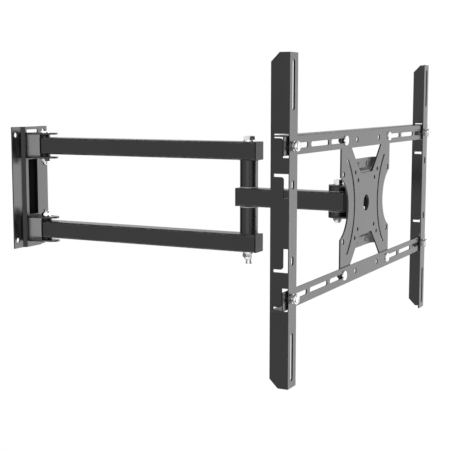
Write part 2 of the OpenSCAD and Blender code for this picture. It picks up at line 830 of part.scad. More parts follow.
// Four rivets that join the screen plate's feet to the tilt bracket
module plate_rivets() {
    front = foot_back - plate_t;
    back = foot_back + tilt_t;
    color(coat_dark) for (x = [-rivet_x, rivet_x]) for (z = [-rivet_z, rivet_z])
        translate([x, 0, z]) rotate([90, 0, 0]) {
            translate([0, 0, -back]) cylinder(d = rivet_d, h = back - front);
            translate([0, 0, -front]) cylinder(d1 = rivet_head_d, d2 = 0.6 * rivet_head_d, h = rivet_head_t);
            translate([0, 0, -back - rivet_head_t])
                cylinder(d1 = 0.6 * rivet_head_d, d2 = rivet_head_d, h = rivet_head_t);
        }
}

// ---------------------------------------------------------------- rails

// Angle section: an upright web with a flange bent back along its outer edge
module rail(side) {
    half = rail_len / 2;
    color(coat) mirror([0, 0, side > 0 ? 0 : 1]) translate([0, 0, rail_z]) difference() {
        union() {
            span([-half, rail_front, -rail_inner], [half, rail_back, rail_outer]);
            span([-half, rail_front, rail_outer - rail_t], [half, rail_front + rail_flange, rail_outer]);
        }
        slab(rail_front - eps, rail_back + eps) for (x = [-1, 1]) {
            for (ends = rail_slots) translate([x * (ends[0] + ends[1]) / 2, 0])
                slot2d(ends[1] - ends[0], rail_slot_h);
            translate([x * vesa_mid, 0]) circle(d = rail_hole_d);
        }
    }
}

module top_rail() { rail(1); }
module bottom_rail() { rail(-1); }

// Flat round head in front of the rail, shank through rail and screen plate
module rail_bolts() {
    shank_end = plate_back + frame_nut_h + bolt_proud;
    color(zinc) for (x = [-vesa_far, vesa_far]) for (z = [-rail_z, rail_z])
        translate([x, 0, z]) rotate([90, 0, 0]) {
            translate([0, 0, -rail_front])
                cylinder(d1 = frame_head_d, d2 = 0.8 * frame_head_d, h = frame_head_t);
            translate([0, 0, -shank_end]) cylinder(d = frame_bolt_d, h = shank_end - rail_front);
        }
}

module rail_nuts() {
    color(coat_dark) for (x = [-vesa_far, vesa_far]) for (z = [-rail_z, rail_z])
        translate([x, plate_back, z]) rotate([-90, 0, 0]) nut(frame_nut_af, frame_nut_h, frame_bolt_d);
}

// ---------------------------------------------------------------- screen brackets

// L-shaped slots in the side flange: a long leg beside the front face, and a short leg
// that runs back along the edge away from the middle. The tongue between them has a
// rounded corner
module flange_slot(low, high, back, width, height) {
    front = bracket_front + slot_skin;
    tongue = [bracket_back + width, high - height];
    square_from([front, low], [tongue[0], high]);
    square_from([front, tongue[1]], [back, high]);
    difference() {
        square_from([tongue[0], tongue[1] - tongue_r], [tongue[0] + tongue_r, tongue[1]]);
        translate([tongue[0] + tongue_r, tongue[1] - tongue_r]) circle(r = tongue_r);
    }
}

module square_from(low, high) {
    translate(low) square(high - low);
}

// Outline of the side flange, with its two back corners cut off
module flange_outline() {
    half = bracket_h / 2;
    cut = bracket_cut;
    polygon([
        [bracket_front, -half], [bracket_tail - cut, -half], [bracket_tail, -half + cut],
        [bracket_tail, half - cut], [bracket_tail - cut, half], [bracket_front, half]
    ]);
}

// Left-hand bracket; the right-hand one is its mirror image
module bracket_shape() {
    half = bracket_h / 2;
    leg_back = rail_front + rail_flange + rail_room;
    color(coat) difference() {
        union() {
            span([-bracket_outer, bracket_front, -half], [-bracket_inner, bracket_back, half]);
            translate([-bracket_outer, 0, 0]) rotate([90, 0, 90])
                linear_extrude(height = bracket_t) flange_outline();
        }
        for (side = [0, 1]) mirror([0, 0, side]) {
            translate([-bracket_outer - eps, 0, 0]) rotate([90, 0, 90])
                linear_extrude(height = bracket_t + eps) {
                    flange_slot(rail_z - rail_inner - leg_room, rail_z + rail_outer + rail_room,
                                leg_back, leg_w, leg_h);
                    flange_slot(spare_slot[0], spare_slot[1], leg_back, spare_leg_w, spare_leg_h);
                }
            slab(bracket_front - eps, bracket_back + eps) {
                translate([-bracket_x, rail_z]) circle(d = frame_bolt_d + pass_fit);
                translate([-bracket_x, long_slot_z]) rotate(90) slot2d(long_slot_l, bracket_slot_w);
                translate([-bracket_x, vesa_mid]) rotate(90) slot2d(short_slot_l, bracket_slot_w);
            }
        }
    }
}

// Cross-recessed pan-head screws that hold a bracket to both rails
module bracket_screws(x) {
    head_y = bracket_front - collar_t;
    end_y = rail_back + gap + frame_nut_h + bolt_proud;
    color(zinc) for (z = [-rail_z, rail_z]) translate([x, 0, z]) rotate([90, 0, 0]) {
        translate([0, 0, -head_y]) difference() {
            union() {
                cylinder(d = screw_head_d, h = 0.5 * screw_head_h);
                translate([0, 0, 0.5 * screw_head_h])
                    cylinder(d1 = screw_head_d, d2 = 0.62 * screw_head_d, h = 0.5 * screw_head_h);
            }
            for (turn = [0, 90]) rotate([0, 0, turn])
                translate([0, 0, screw_head_h - screw_cross_depth + screw_cross[2] / 2])
                    cube(screw_cross, center = true);
        }
        translate([0, 0, -end_y]) cylinder(d = frame_bolt_d, h = end_y - head_y);
    }
}

module bracket_collars(x) {
    color(zinc) for (z = [-rail_z, rail_z]) translate([x, bracket_front, z]) rotate([90, 0, 0])
        ring(collar_d, frame_bolt_d, collar_t);
}

module bracket_nuts(x) {
    color(coat_dark) for (z = [-rail_z, rail_z])
        translate([x, rail_back + gap, z]) rotate([-90, 0, 0])
            nut(frame_nut_af, frame_nut_h, frame_bolt_d);
}

module left_bracket() { bracket_shape(); }
module left_bracket_screws() { bracket_screws(-bracket_x); }
module left_bracket_collars() { bracket_collars(-bracket_x); }
module left_bracket_nuts() { bracket_nuts(-bracket_x); }
module right_bracket() { mirror([1, 0, 0]) bracket_shape(); }
module right_bracket_screws() { bracket_screws(bracket_x); }
module right_bracket_collars() { bracket_collars(bracket_x); }
module right_bracket_nuts() { bracket_nuts(bracket_x); }

// ---------------------------------------------------------------- nodes

wall_plate();
pan_liner();
upper_hinge_bracket();
lower_hinge_bracket();
upper_hinge_bolt();
lower_hinge_bolt();
upper_hinge_nut();
lower_hinge_nut();
upper_hinge_bushes();
lower_hinge_bushes();
upper_arm_tube();
lower_arm_tube();
upper_arm_barrel();
lower_arm_barrel();
upper_arm_cap();
lower_arm_cap();
arm_spacers();
elbow_upper_column();
elbow_lower_column();
elbow_bolt();
elbow_nut();
elbow_washers();
elbow_glides();
forearm_tube();
forearm_elbow_bush();
forearm_swivel_bush();
forearm_rear_cap();
forearm_front_cap();
swivel_yoke();
swivel_upper_boss();
swivel_lower_boss();
swivel_bolt();
swivel_nut();
swivel_washer();
swivel_glides();
tilt_bracket();
tilt_bolt();
tilt_nut();
tilt_washers();
screen_plate();
plate_rivets();
top_rail();
bottom_rail();
rail_bolts();
rail_nuts();
left_bracket();
left_bracket_screws();
left_bracket_collars();
left_bracket_nuts();
right_bracket();
right_bracket_screws();
right_bracket_collars();
right_bracket_nuts();
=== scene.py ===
# %% [markdown]
# # A full motion wall mount for a flat screen
#
# The real object is pressed and bent steel sheet, square steel tube, turned bolts and a few
# moulded plastic caps. All of the steel but the fasteners is powder coated black. The packed
# frame already holds every part at its true size and place, so this lesson adds what a
# drawing leaves out: rolled edges and bends, real bolt heads and threads, weld beads, and
# finishes that answer to light. We start by loading that frame and keeping its box, because
# nothing that we add may reach outside it.

# %% Load the frame
import json
import math
import bmesh
import bpy
from mathutils import Euler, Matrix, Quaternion, Vector


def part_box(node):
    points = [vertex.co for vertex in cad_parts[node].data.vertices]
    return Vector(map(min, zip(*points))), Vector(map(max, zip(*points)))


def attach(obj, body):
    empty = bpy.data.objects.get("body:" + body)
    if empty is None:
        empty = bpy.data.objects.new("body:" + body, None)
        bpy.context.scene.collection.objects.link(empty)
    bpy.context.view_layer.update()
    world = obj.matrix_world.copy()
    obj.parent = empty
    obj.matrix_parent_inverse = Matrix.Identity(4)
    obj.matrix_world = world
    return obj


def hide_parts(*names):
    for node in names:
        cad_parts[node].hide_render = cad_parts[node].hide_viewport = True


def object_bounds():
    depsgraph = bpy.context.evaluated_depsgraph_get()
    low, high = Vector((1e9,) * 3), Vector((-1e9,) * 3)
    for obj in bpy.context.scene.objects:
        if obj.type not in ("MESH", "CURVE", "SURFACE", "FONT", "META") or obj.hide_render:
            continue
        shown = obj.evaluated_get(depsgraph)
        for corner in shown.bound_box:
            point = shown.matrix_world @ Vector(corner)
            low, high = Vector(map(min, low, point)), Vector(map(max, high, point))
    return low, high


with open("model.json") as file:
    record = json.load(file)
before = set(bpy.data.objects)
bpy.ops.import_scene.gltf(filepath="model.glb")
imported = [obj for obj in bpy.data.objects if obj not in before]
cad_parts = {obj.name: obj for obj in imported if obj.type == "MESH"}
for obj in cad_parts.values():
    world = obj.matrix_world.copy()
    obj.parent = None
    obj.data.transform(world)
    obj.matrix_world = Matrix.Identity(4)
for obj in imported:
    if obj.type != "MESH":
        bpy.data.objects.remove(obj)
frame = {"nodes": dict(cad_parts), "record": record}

cad_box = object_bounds()
MM = 0.001
bodies = frame["record"]["behaviour"]["bodies"]
body_of = {node: body for body, nodes in bodies.items() for node in nodes}
slot_of = {part["node"]: part["material_slot"] for part in frame["record"]["subparts"]}
print("frame holds", len(frame["nodes"]), "parts in", len(bodies), "moving groups")

# %% [markdown]
# ## Formulas in place of wires
#
# A finish is a formula: "rough where the grain is high, paler where the edge is worn".
# Blender stores such a formula as nodes and links, which are slow to read in a script. One
# small class, `Wire`, wraps a node's output so that `1 - mask * 0.4` adds the Math nodes for
# us. A second class, `Board`, adds any other node in one call: its type, its settings, and
# the numbers or wires that go into its sockets. The same two classes serve the surface
# finishes here and the shape-making trees further down.

# %% Wire and Board
class Wire:
    """An output of a node that can be used in a formula."""

    def __init__(self, board, socket):
        self.board, self.socket = board, socket

    def out(self, name):
        """Another output of the same node."""
        return Wire(self.board, self.socket.node.outputs[name])

    def math(self, operation, *others):
        return self.board.add("ShaderNodeMath", {"operation": operation}, [self, *others])

    def __add__(self, other):
        return self.math("ADD", other)

    def __mul__(self, other):
        return self.math("MULTIPLY", other)

    def __sub__(self, other):
        return self.math("SUBTRACT", other)

    def __rsub__(self, other):
        return self.board.add("ShaderNodeMath", {"operation": "SUBTRACT"}, [other, self])

    def __truediv__(self, other):
        return self.math("DIVIDE", other)

    def __gt__(self, other):
        return self.math("GREATER_THAN", other)

    __radd__, __rmul__ = __add__, __mul__

    def clip(self, low=0.0, high=1.0):
        """Where the wire runs from low to high, this runs from 0 to 1 and stays there."""
        return self.board.add("ShaderNodeMapRange", {"clamp": True}, [self, low, high, 0.0, 1.0])


class Board:
    """A node tree to which a whole node is added in one call."""

    def __init__(self, tree):
        self.tree = tree

    def add(self, kind, settings=None, sockets=()):
        """sockets is a list in socket order, or a dict by socket name or number."""
        node = self.tree.nodes.new(kind)
        for key, value in (settings or {}).items():
            setattr(node, key, value)
        pairs = sockets.items() if isinstance(sockets, dict) else enumerate(sockets)
        for key, value in pairs:
            if isinstance(value, Wire):
                self.tree.links.new(value.socket, node.inputs[key])
            else:
                node.inputs[key].default_value = value
        return Wire(self, next(s for s in node.outputs if s.enabled)) if node.outputs else None


# %% [markdown]
# ## Finishes
#
# Powder coat is paint that is sprayed on as dry powder and melted in an oven. It flows into
# soft waves about a millimetre wide, known as orange peel, and it is thinnest on sharp edges,
# where handling rubs it a little paler. We could paint that in an image, but a pattern worked
# out from each point's place has no seams and keeps its scale on every piece. The `edge`
# attribute, which is 1 only on a piece's rolled edges, tells the finish where to wear.

# %% Shared ingredients of a finish
def new_finish(name):
    """A material with nothing but a surface shader, and the board it is drawn on."""
    finish = bpy.data.materials.new(name)
    finish.use_nodes = True
    board = Board(finish.node_tree)
    shader = finish.node_tree.nodes["Principled BSDF"]
    return finish, board, shader


def speckle(board, per_metre, detail=2.0, stretch=None):
    """Soft noise on the piece's own coordinates, from 0 to 1. stretch draws it out."""
    place = board.add("ShaderNodeTexCoord").out("Object")
    if stretch:
        place = board.add("ShaderNodeMapping", None, {"Vector": place, "Scale": stretch})
    return board.add("ShaderNodeTexNoise", None, {"Vector": place, "Scale": per_metre, "Detail": detail})


def blend_colour(board, factor, first, second):
    """first where factor is 0, second where it is 1."""
    mix = board.add("ShaderNodeMix", {"data_type": "RGBA"}, {"Factor": factor, 6: first, 7: second})
    return mix.out(2)


def wire_up(shader, board, **sockets):
    """Joins wires to the shader's sockets, named with _ for a space."""
    for name, wire in sockets.items():
        board.tree.links.new(wire.socket, shader.inputs[name.replace("_", " ")])


def bumps(board, height, depth, strength):
    return board.add("ShaderNodeBump", None, {"Strength": strength, "Distance": depth, "Height": height})


# %% Powder coat
def powder_coat(name, shade, roughness, waves=0.25):
    """Satin powder coat. waves is how strongly the orange peel shows."""
    finish, board, shader = new_finish(name)
    cloud = speckle(board, 14.0, 3.0)
    peel = speckle(board, 700.0, 2.0)
    grain = speckle(board, 2600.0, 1.0)
    edge = board.add("ShaderNodeAttribute", {"attribute_name": "edge"}).out("Fac")
    rubbed = edge * speckle(board, 120.0, 4.0).clip(0.44, 0.62)
    upward = board.add("ShaderNodeNewGeometry").out("Normal")
    upward = board.add("ShaderNodeSeparateXYZ", None, [upward]).out("Z")
    dust = upward.clip(0.8, 1.0) * speckle(board, 60.0, 5.0).clip(0.45, 0.75)
    deep = (shade * 0.86, shade * 0.86, shade * 0.88, 1.0)
    pale = (shade * 1.18, shade * 1.18, shade * 1.20, 1.0)
    worn = (0.07, 0.07, 0.072, 1.0)
    colour = blend_colour(board, cloud.clip(0.3, 0.7), deep, pale)
    colour = blend_colour(board, rubbed * 0.55 + dust * 0.12, colour, worn)
    wire_up(shader, board, Base_Color=colour,
            Roughness=roughness + (grain - 0.5) * 0.08 + (cloud - 0.5) * 0.06 + dust * 0.08 - rubbed * 0.04,
            Normal=bumps(board, peel + grain * 0.25, 0.00003, waves))
    shader.inputs["Specular IOR Level"].default_value = 0.5
    return finish


# %% [markdown]
# Bolts, nuts and washers are steel with a thin bright zinc layer. Bare metal has no colour of
# its own under a shine: nearly all that we see is reflection, so its roughness carries the
# detail. Zinc is a little cloudy, and tumbling in the plating barrel leaves fine scratches.

# %% Plated and blackened steel
def plated_steel(name, shade, roughness, metallic=1.0):
    finish, board, shader = new_finish(name)
    cloud = speckle(board, 160.0, 3.0)
    scratch = speckle(board, 1500.0, 2.0, stretch=(1.0, 1.0, 0.12))
    edge = board.add("ShaderNodeAttribute", {"attribute_name": "edge"}).out("Fac")
    dull = tuple(c * 0.88 for c in shade) + (1.0,)
    colour = blend_colour(board, (cloud * 0.8 + edge * 0.2).clip(0.3, 0.7), dull, (*shade, 1.0))
    wire_up(shader, board, Base_Color=colour,
            Roughness=roughness + (cloud - 0.5) * 0.14 + (scratch - 0.5) * 0.08,
            Normal=bumps(board, scratch, 0.00001, 0.08))
    shader.inputs["Metallic"].default_value = metallic
    return finish


# %% [markdown]
# The end caps are moulded plastic with a spark-eroded texture: matt, and even in colour. The
# glide washers are nylon, greyed by grease, and milky because light goes a little way into
# it. A near-black, matt strip in the wall plate's pan is painted shade: it stands for the
# shade that lies in the pan, and it is made with the plastics' finish.

# %% Plastics, and the painted shade in the pan
def moulded_plastic(name, shade, roughness, gloss=0.5, milky=0.0):
    finish, board, shader = new_finish(name)
    texture = speckle(board, 2200.0, 2.0)
    flow = speckle(board, 30.0, 2.0)
    edge = board.add("ShaderNodeAttribute", {"attribute_name": "edge"}).out("Fac")
    deep = tuple(c * 0.85 for c in shade) + (1.0,)
    pale = tuple(min(1.0, c * 1.15) for c in shade) + (1.0,)
    colour = blend_colour(board, (flow * 0.7 + edge * 0.3).clip(0.2, 0.8), deep, pale)
    wire_up(shader, board, Base_Color=colour, Roughness=roughness + (texture - 0.5) * 0.12,
            Normal=bumps(board, texture, 0.00005, 0.35))
    shader.inputs["Subsurface Weight"].default_value = milky
    shader.inputs["Specular IOR Level"].default_value = gloss
    return finish


finishes = {
    "black_coat": powder_coat("black_coat", 0.007, 0.22),
    "bright_zinc": plated_steel("bright_zinc", (0.86, 0.87, 0.88), 0.16),
    "black_steel": plated_steel("black_steel", (0.045, 0.045, 0.05), 0.36, metallic=0.8),
    "black_plastic": moulded_plastic("black_plastic", (0.005, 0.005, 0.0052), 0.30, gloss=0.2),
    "nylon": moulded_plastic("nylon", (0.34, 0.335, 0.32), 0.45, milky=0.05),
}
# The pan strip's finish is painted shade: near-black and matt, for a pan that only lies in shade.
painted_pan_shade = moulded_plastic("painted_pan_shade", (0.004, 0.004, 0.0042), 0.85, gloss=0.03)
print("finishes:", ", ".join(finishes), "and", painted_pan_shade.name)

# %% [markdown]
# ## From drawing to metal
#
# A drawn part has knife edges. On the real one sheet is sheared, which rolls its edge over by
# a few tenths of a millimetre, and bends and tube corners are rounder still. Those small
# curves catch the light and are most of what tells the eye that it looks at steel. The Bevel
# modifier makes them. It rounds each edge by its own weight, so one modifier gives a bend a
# radius of 3 mm and a cut edge one of 0.35 mm. It also puts its new faces in a second material
# slot, from which we read where the edges are, for the finishes' wear.

# %% Helpers that finish a piece
def plain(piece):
    """The piece as a plain mesh: its modifiers are applied and removed."""
    evaluated = piece.evaluated_get(bpy.context.evaluated_depsgraph_get())
    mesh = bpy.data.meshes.new_from_object(evaluated)
    piece.modifiers.clear()
    piece.data = mesh
    return piece


def note_edges(mesh):
    """Keeps the bevels' faces as the attribute edge, and puts all faces in the first slot."""
    edge = mesh.attributes.new("edge", "FLOAT", "CORNER")
    for face in mesh.polygons:
        if face.material_index:
            for corner in face.loop_indices:
                edge.data[corner].value = 1.0
            face.material_index = 0


def hand_over(piece, node):
    """The piece stands for the drawn node: the node is hidden, and the piece joins its body."""
    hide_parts(node)
    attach(piece, body_of[node])


def new_piece(name, mesh):
    piece = bpy.data.objects.new(name, mesh)
    bpy.context.scene.collection.objects.link(piece)
    return piece


# %% Edges and bends
SHARP = math.radians(28)
FLAT = math.radians(0.3)
SAME_POINT = 0.003 * MM
SAME_HEIGHT = 0.05 * MM
CUT_EDGE = 0.35 * MM
BEVEL_STEPS = 3
# Plates with many holes are cut into triangles first, as one large face round all of the
# holes would be filled wrongly after the bevel. The other parts keep their long faces.
PIERCED = ("screen_plate", "left_bracket", "right_bracket")


def along(edge, axis):
    """True if the edge runs along that axis."""
    run = edge.verts[1].co - edge.verts[0].co
    return abs(run[axis]) > 0.999 * run.length


def bend_edges(shape, axis, length, ends):
    """Edges of at least that length along axis that lie furthest to the sides in ends, which
    maps another axis to -1 or 1. A side of 0 means both of its ends."""
    found = [e for e in shape.edges if along(e, axis) and e.calc_length() > length]
    for other, side in ends.items():
        reach = [e.verts[0].co[other] for e in found]
        wanted = [v for v, use in ((min(reach), side <= 0), (max(reach), side >= 0)) if use]
        found = [e for e in found if any(abs(e.verts[0].co[other] - v) < SAME_HEIGHT for v in wanted)]
    return found


def merged_copy(node):
    """The drawn node's mesh to work on. It comes as loose triangles, so they are joined."""
    shape = bmesh.new()
    shape.from_mesh(frame["nodes"][node].data)
    bmesh.ops.remove_doubles(shape, verts=shape.verts, dist=SAME_POINT)
    return shape


def weigh_edges(shape, bends, cut):
    """Gives each sharp edge a share of the widest radius as its weight, and returns that radius."""
    widest = max([cut] + [bend[0] for bend in bends])
    weight = shape.edges.layers.float.new("bevel_weight_edge")
    for edge in shape.edges:
        if edge.is_manifold and edge.calc_face_angle(0.0) > SHARP:
            edge[weight] = cut / widest
    for radius, axis, length, ends in bends:
        for edge in bend_edges(shape, axis, length, ends):
            edge[weight] = radius / widest
    return widest


def metal_piece(node, bends=(), cut=CUT_EDGE):
    """A copy of the drawn node with rolled edges. bends lists (radius, axis, length, ends)."""
    shape = merged_copy(node)
    bmesh.ops.dissolve_limit(shape, angle_limit=FLAT, verts=shape.verts, edges=shape.edges)
    if node in PIERCED:
        bmesh.ops.triangulate(shape, faces=shape.faces)
    widest = weigh_edges(shape, bends, cut)
    mesh = bpy.data.meshes.new(node + "_skin")
    shape.to_mesh(mesh)
    shape.free()
    mesh.shade_smooth()
    finish = finishes[slot_of[node]]
    mesh.materials.append(finish)
    mesh.materials.append(finish)
    piece = new_piece(node + "_skin", mesh)
    bevel = piece.modifiers.new("rolled edges", "BEVEL")
    bevel.limit_method, bevel.width, bevel.segments = "WEIGHT", widest, BEVEL_STEPS
    bevel.material, bevel.use_clamp_overlap, bevel.loop_slide = 1, False, False
    even = piece.modifiers.new("flat faces", "WEIGHTED_NORMAL")
    even.mode, even.weight, even.keep_sharp = "FACE_AREA", 100, True
    plain(piece)
    note_edges(piece.data)
    piece.data.materials.pop(index=1)
    hand_over(piece, node)
    print(f"{piece.name}: {len(piece.data.polygons)} faces, cut edges {cut / MM:.2f} mm")
    return piece


# %% [markdown]
# ## Sheet, tube and caps
#
# Each part's own bends are named here: the fold of an angle rail runs along X at its front
# outer corner, that of an upright bracket along Z, and a square tube has four corners along Y.
# The strip in the wall plate's pan is made like the caps, and then gets a near-black finish that is painted
# shade.

# %% Finish every pressed, bent and moulded part
X, Y, Z = 0, 1, 2
BOTH = 0
SHEET_BEND = 3.0 * MM
RAIL_BEND = 2.4 * MM
BRACKET_BEND = 0.5 * MM  # the slots start 1 mm from it, so it has to stay small
SMALL_EDGE = 0.25 * MM
CAP_EDGE = 0.8 * MM
tube_corners = [(3.0 * MM, Y, 60 * MM, {X: BOTH, Z: BOTH})]
sheet_parts = {
    "wall_plate": [],
    "upper_hinge_bracket": [(SHEET_BEND, X, 30 * MM, {Y: 1, Z: BOTH})],
    "lower_hinge_bracket": [(SHEET_BEND, X, 30 * MM, {Y: 1, Z: BOTH})],
    "upper_arm_tube": tube_corners,
    "lower_arm_tube": tube_corners,
    "forearm_tube": tube_corners,
    "swivel_yoke": [(SHEET_BEND, X, 20 * MM, {Y: -1, Z: BOTH})],
    "tilt_bracket": [],
    "screen_plate": [],
    "top_rail": [(RAIL_BEND, X, 300 * MM, {Y: -1, Z: 1})],
    "bottom_rail": [(RAIL_BEND, X, 300 * MM, {Y: -1, Z: -1})],
    "left_bracket": [(BRACKET_BEND, Z, 300 * MM, {X: -1, Y: -1})],
    "right_bracket": [(BRACKET_BEND, Z, 300 * MM, {X: 1, Y: -1})],
}
small_parts = ["upper_hinge_bushes", "lower_hinge_bushes", "upper_arm_barrel", "lower_arm_barrel",
               "elbow_upper_column", "elbow_lower_column", "elbow_glides", "swivel_glides",
               "swivel_upper_boss", "swivel_lower_boss"]
caps = ["upper_arm_cap", "lower_arm_cap", "forearm_rear_cap", "forearm_front_cap"]
for node, bends in sheet_parts.items():
    metal_piece(node, bends)
for node in small_parts:
    metal_piece(node, cut=SMALL_EDGE)
for node in caps:
    metal_piece(node, cut=CAP_EDGE)
# The strip in the pan is painted shade: a near-black sheet put where the pan lies in shade.
painted_shade_strip = metal_piece("pan_liner", cut=SMALL_EDGE)
painted_shade_strip.data.materials[0] = painted_pan_shade

# %% [markdown]
# The crush tubes in the arms and the bearing tubes in the forearm are sealed inside, so the
# drawn parts stay as they are and only get a finish.

# %% Hidden tubes
for node in ("arm_spacers", "forearm_elbow_bush", "forearm_swivel_bush"):
    frame["nodes"][node].data.materials.clear()
    frame["nodes"][node].data.materials.append(finishes[slot_of[node]])
    print(node, "keeps its drawn mesh")

# %% [markdown]
# ## Turned parts
#
# Bolts, nuts, washers and rivets are all turned: an outline spun round an axis. A hexagon head
# is turned too, and then cut to six flats, which is why its chamfer meets the flats in small
# arcs. A thread is a groove that winds up the shank. One rule makes them all: a point at
# height z and angle a lies at the outline's radius, or at the hexagon's if that is nearer, less
# the thread's groove at that height and angle. Modelling each by hand would be slow, so one
# Geometry Nodes tree follows the rule on a grid, sets a copy on each seat, and can press a
# cross recess in the head.

# %% A tree with named inputs
def new_tree(name, inputs):
    """A Geometry Nodes tree with those (name, type) inputs. Gives its board and its inputs."""
    tree = bpy.data.node_groups.new(name, "GeometryNodeTree")
    tree.interface.new_socket("Geometry", in_out="INPUT", socket_type="NodeSocketGeometry")
    tree.interface.new_socket("Geometry", in_out="OUTPUT", socket_type="NodeSocketGeometry")
    for label, kind in inputs:
        tree.interface.new_socket(label, in_out="INPUT", socket_type="NodeSocket" + kind)
    board = Board(tree)
    start = board.add("NodeGroupInput")
    return board, start


def finish_tree(board, shape, material):
    """Realizes the shape, sets its material and sends it out."""
    solid = board.add("GeometryNodeRealizeInstances", None, [shape])
    solid = board.add("GeometryNodeSetMaterial", None, {"Geometry": solid, "Material": material})
    board.add("NodeGroupOutput", None, [solid])
    return board.tree


def run_tree(piece, tree, **values):
    """Runs the tree on the piece with those input values, and leaves a plain mesh."""
    modifier = piece.modifiers.new(tree.name, "NODES")
    modifier.node_group = tree
    identifiers = {item.name: item.identifier for item in tree.interface.items_tree
                   if item.in_out == "INPUT"}
    for label, value in values.items():
        modifier[identifiers[label.replace("_", " ")]] = value
    return plain(piece)


# %% The turned part tree
def turned_tree():
    board, start = new_tree("turned part", [
        ("Outline", "Object"), ("Steps", "Int"), ("Across flats", "Float"), ("Pitch", "Float"),
        ("Groove", "Float"), ("Thread start", "Float"), ("Thread end", "Float"),
        ("Turn", "Vector"), ("Cross span", "Float"), ("Cross depth", "Float"),
        ("Head top", "Float"), ("Finish", "Material")])
    outline = board.add("GeometryNodeObjectInfo", None, [start.out("Outline")]).out("Geometry")
    rows = board.add("GeometryNodeAttributeDomainSize", {"component": "MESH"}, [outline])
    columns = start.out("Steps") + 1
    grid = board.add("GeometryNodeMeshGrid", None, {"Vertices X": rows, "Vertices Y": columns})
    index = board.add("GeometryNodeInputIndex")
    row = (index / columns).math("FLOOR")
    angle = index.math("FLOORED_MODULO", columns) / start.out("Steps") * math.tau
    point = board.add("GeometryNodeInputPosition")
    point = board.add("GeometryNodeSampleIndex", {"data_type": "FLOAT_VECTOR"},
                      {"Geometry": outline, "Value": point, "Index": row})
    point = board.add("ShaderNodeSeparateXYZ", None, [point])
    radius, height = point.out("X"), point.out("Z")
    from_middle = angle.math("FLOORED_MODULO", math.pi / 3) - math.pi / 6
    flat = start.out("Across flats") / (from_middle.math("COSINE") * 2)
    flat = flat + (1 - (start.out("Across flats") > 0))
    radius = radius.math("MINIMUM", flat)
    wind = (height / start.out("Pitch") - angle / math.tau).math("FRACT")
    groove = 1 - (wind * 2 - 1).math("ABSOLUTE")
    inside = (height > start.out("Thread start")) * (start.out("Thread end").math("GREATER_THAN", height))
    radius = radius - groove * inside * start.out("Groove")
    place = board.add("ShaderNodeCombineXYZ", None,
                      [radius * angle.math("COSINE"), radius * angle.math("SINE"), height])
    turned = board.add("GeometryNodeSetPosition", None, {"Geometry": grid, "Position": place})
    turned = board.add("GeometryNodeMergeByDistance", None, {"Geometry": turned, "Distance": 1e-6})
    turned = pressed_cross(board, start, turned)
    copies = board.add("GeometryNodeInstanceOnPoints", None,
                       {"Points": start.out("Geometry"), "Instance": turned, "Rotation": start.out("Turn")})
    return finish_tree(board, copies, start.out("Finish"))


def pressed_cross(board, start, turned):
    """Cuts a cross recess in the head's top if the cross has a span."""
    span, depth = start.out("Cross span"), start.out("Cross depth")
    top = board.add("ShaderNodeCombineXYZ", None, [0.0, 0.0, start.out("Head top")])
    bars = []
    for share in ((1.0, 0.2), (0.2, 1.0)):
        size = board.add("ShaderNodeCombineXYZ", None, [span * share[0], span * share[1], depth * 2])
        bars.append(board.add("GeometryNodeMeshCube", None, {"Size": size}))
    cone = board.add("GeometryNodeMeshCone", None,
                     {"Radius Top": span * 0.32, "Radius Bottom": span * 0.05, "Depth": depth * 1.3})
    low = board.add("ShaderNodeCombineXYZ", None, [0.0, 0.0, depth * -1.25])
    bars.append(board.add("GeometryNodeTransform", None, {"Geometry": cone, "Translation": low}))
    cutter = board.add("GeometryNodeMeshBoolean", {"operation": "UNION", "solver": "EXACT"})
    for bar in bars:
        board.tree.links.new(bar.socket, cutter.socket.node.inputs[1])
    cutter = board.add("GeometryNodeTransform", None, {"Geometry": cutter, "Translation": top})
    cut = board.add("GeometryNodeMeshBoolean", {"operation": "DIFFERENCE", "solver": "EXACT"},
                    {0: turned, 1: cutter})
    return board.add("GeometryNodeSwitch", {"input_type": "GEOMETRY"}, [span > 0, turned, cut])


turning = turned_tree()
print("turned part tree:", len(turning.nodes), "nodes")

# %% [markdown]
# ### Outlines
#
# An outline is a short list of points, radius and height, with z = 0 at the seat, where the
# head or nut meets the steel. Rounded stretches and threads are worked out, not drawn.

# %% Outlines of shanks, heads, nuts and washers
TIP = 0.1  # a shank's end chamfer, as a share of its diameter


def arc(start, end, steps):
    """Points on a quarter ellipse that leaves start straight up and reaches end level."""
    quarter = [math.pi / 2 * step / steps for step in range(steps + 1)]
    return [(end[0] + (start[0] - end[0]) * math.cos(a), start[1] + (end[1] - start[1]) * math.sin(a))
            for a in quarter]


def line(start, end, steps):
    return [(start[0] + (end[0] - start[0]) * s / steps, start[1] + (end[1] - start[1]) * s / steps)
            for s in range(steps + 1)]


def shank(d, length, thread, pitch):
    """From the middle of the shank's end up to the seat."""
    tip = TIP * d
    rows = max(1, round(thread / pitch * 8))
    side = line((d / 2, tip - length), (d / 2, thread - length), rows)
    return [(0, -length), (d / 2 - tip, -length), *side, (d / 2, 0)]


def hex_head(flats, h):
    """A washer face, then six flats with a turned chamfer."""
    face, corner = 0.49 * flats, 0.58 * flats
    chamfer = 0.05 * flats
    return [(face, 0), (face, 0.03 * flats), (corner, 0.035 * flats), (corner, h - chamfer),
            *line((corner, h - chamfer), (face, h), 8)[1:], (0, h)]


def round_head(d, h, flat=0.4):
    """A low domed head with a flat middle."""
    return [(d / 2, 0), *arc((d / 2, 0.3 * h), (flat * d / 2, h), 8), (0, h)]


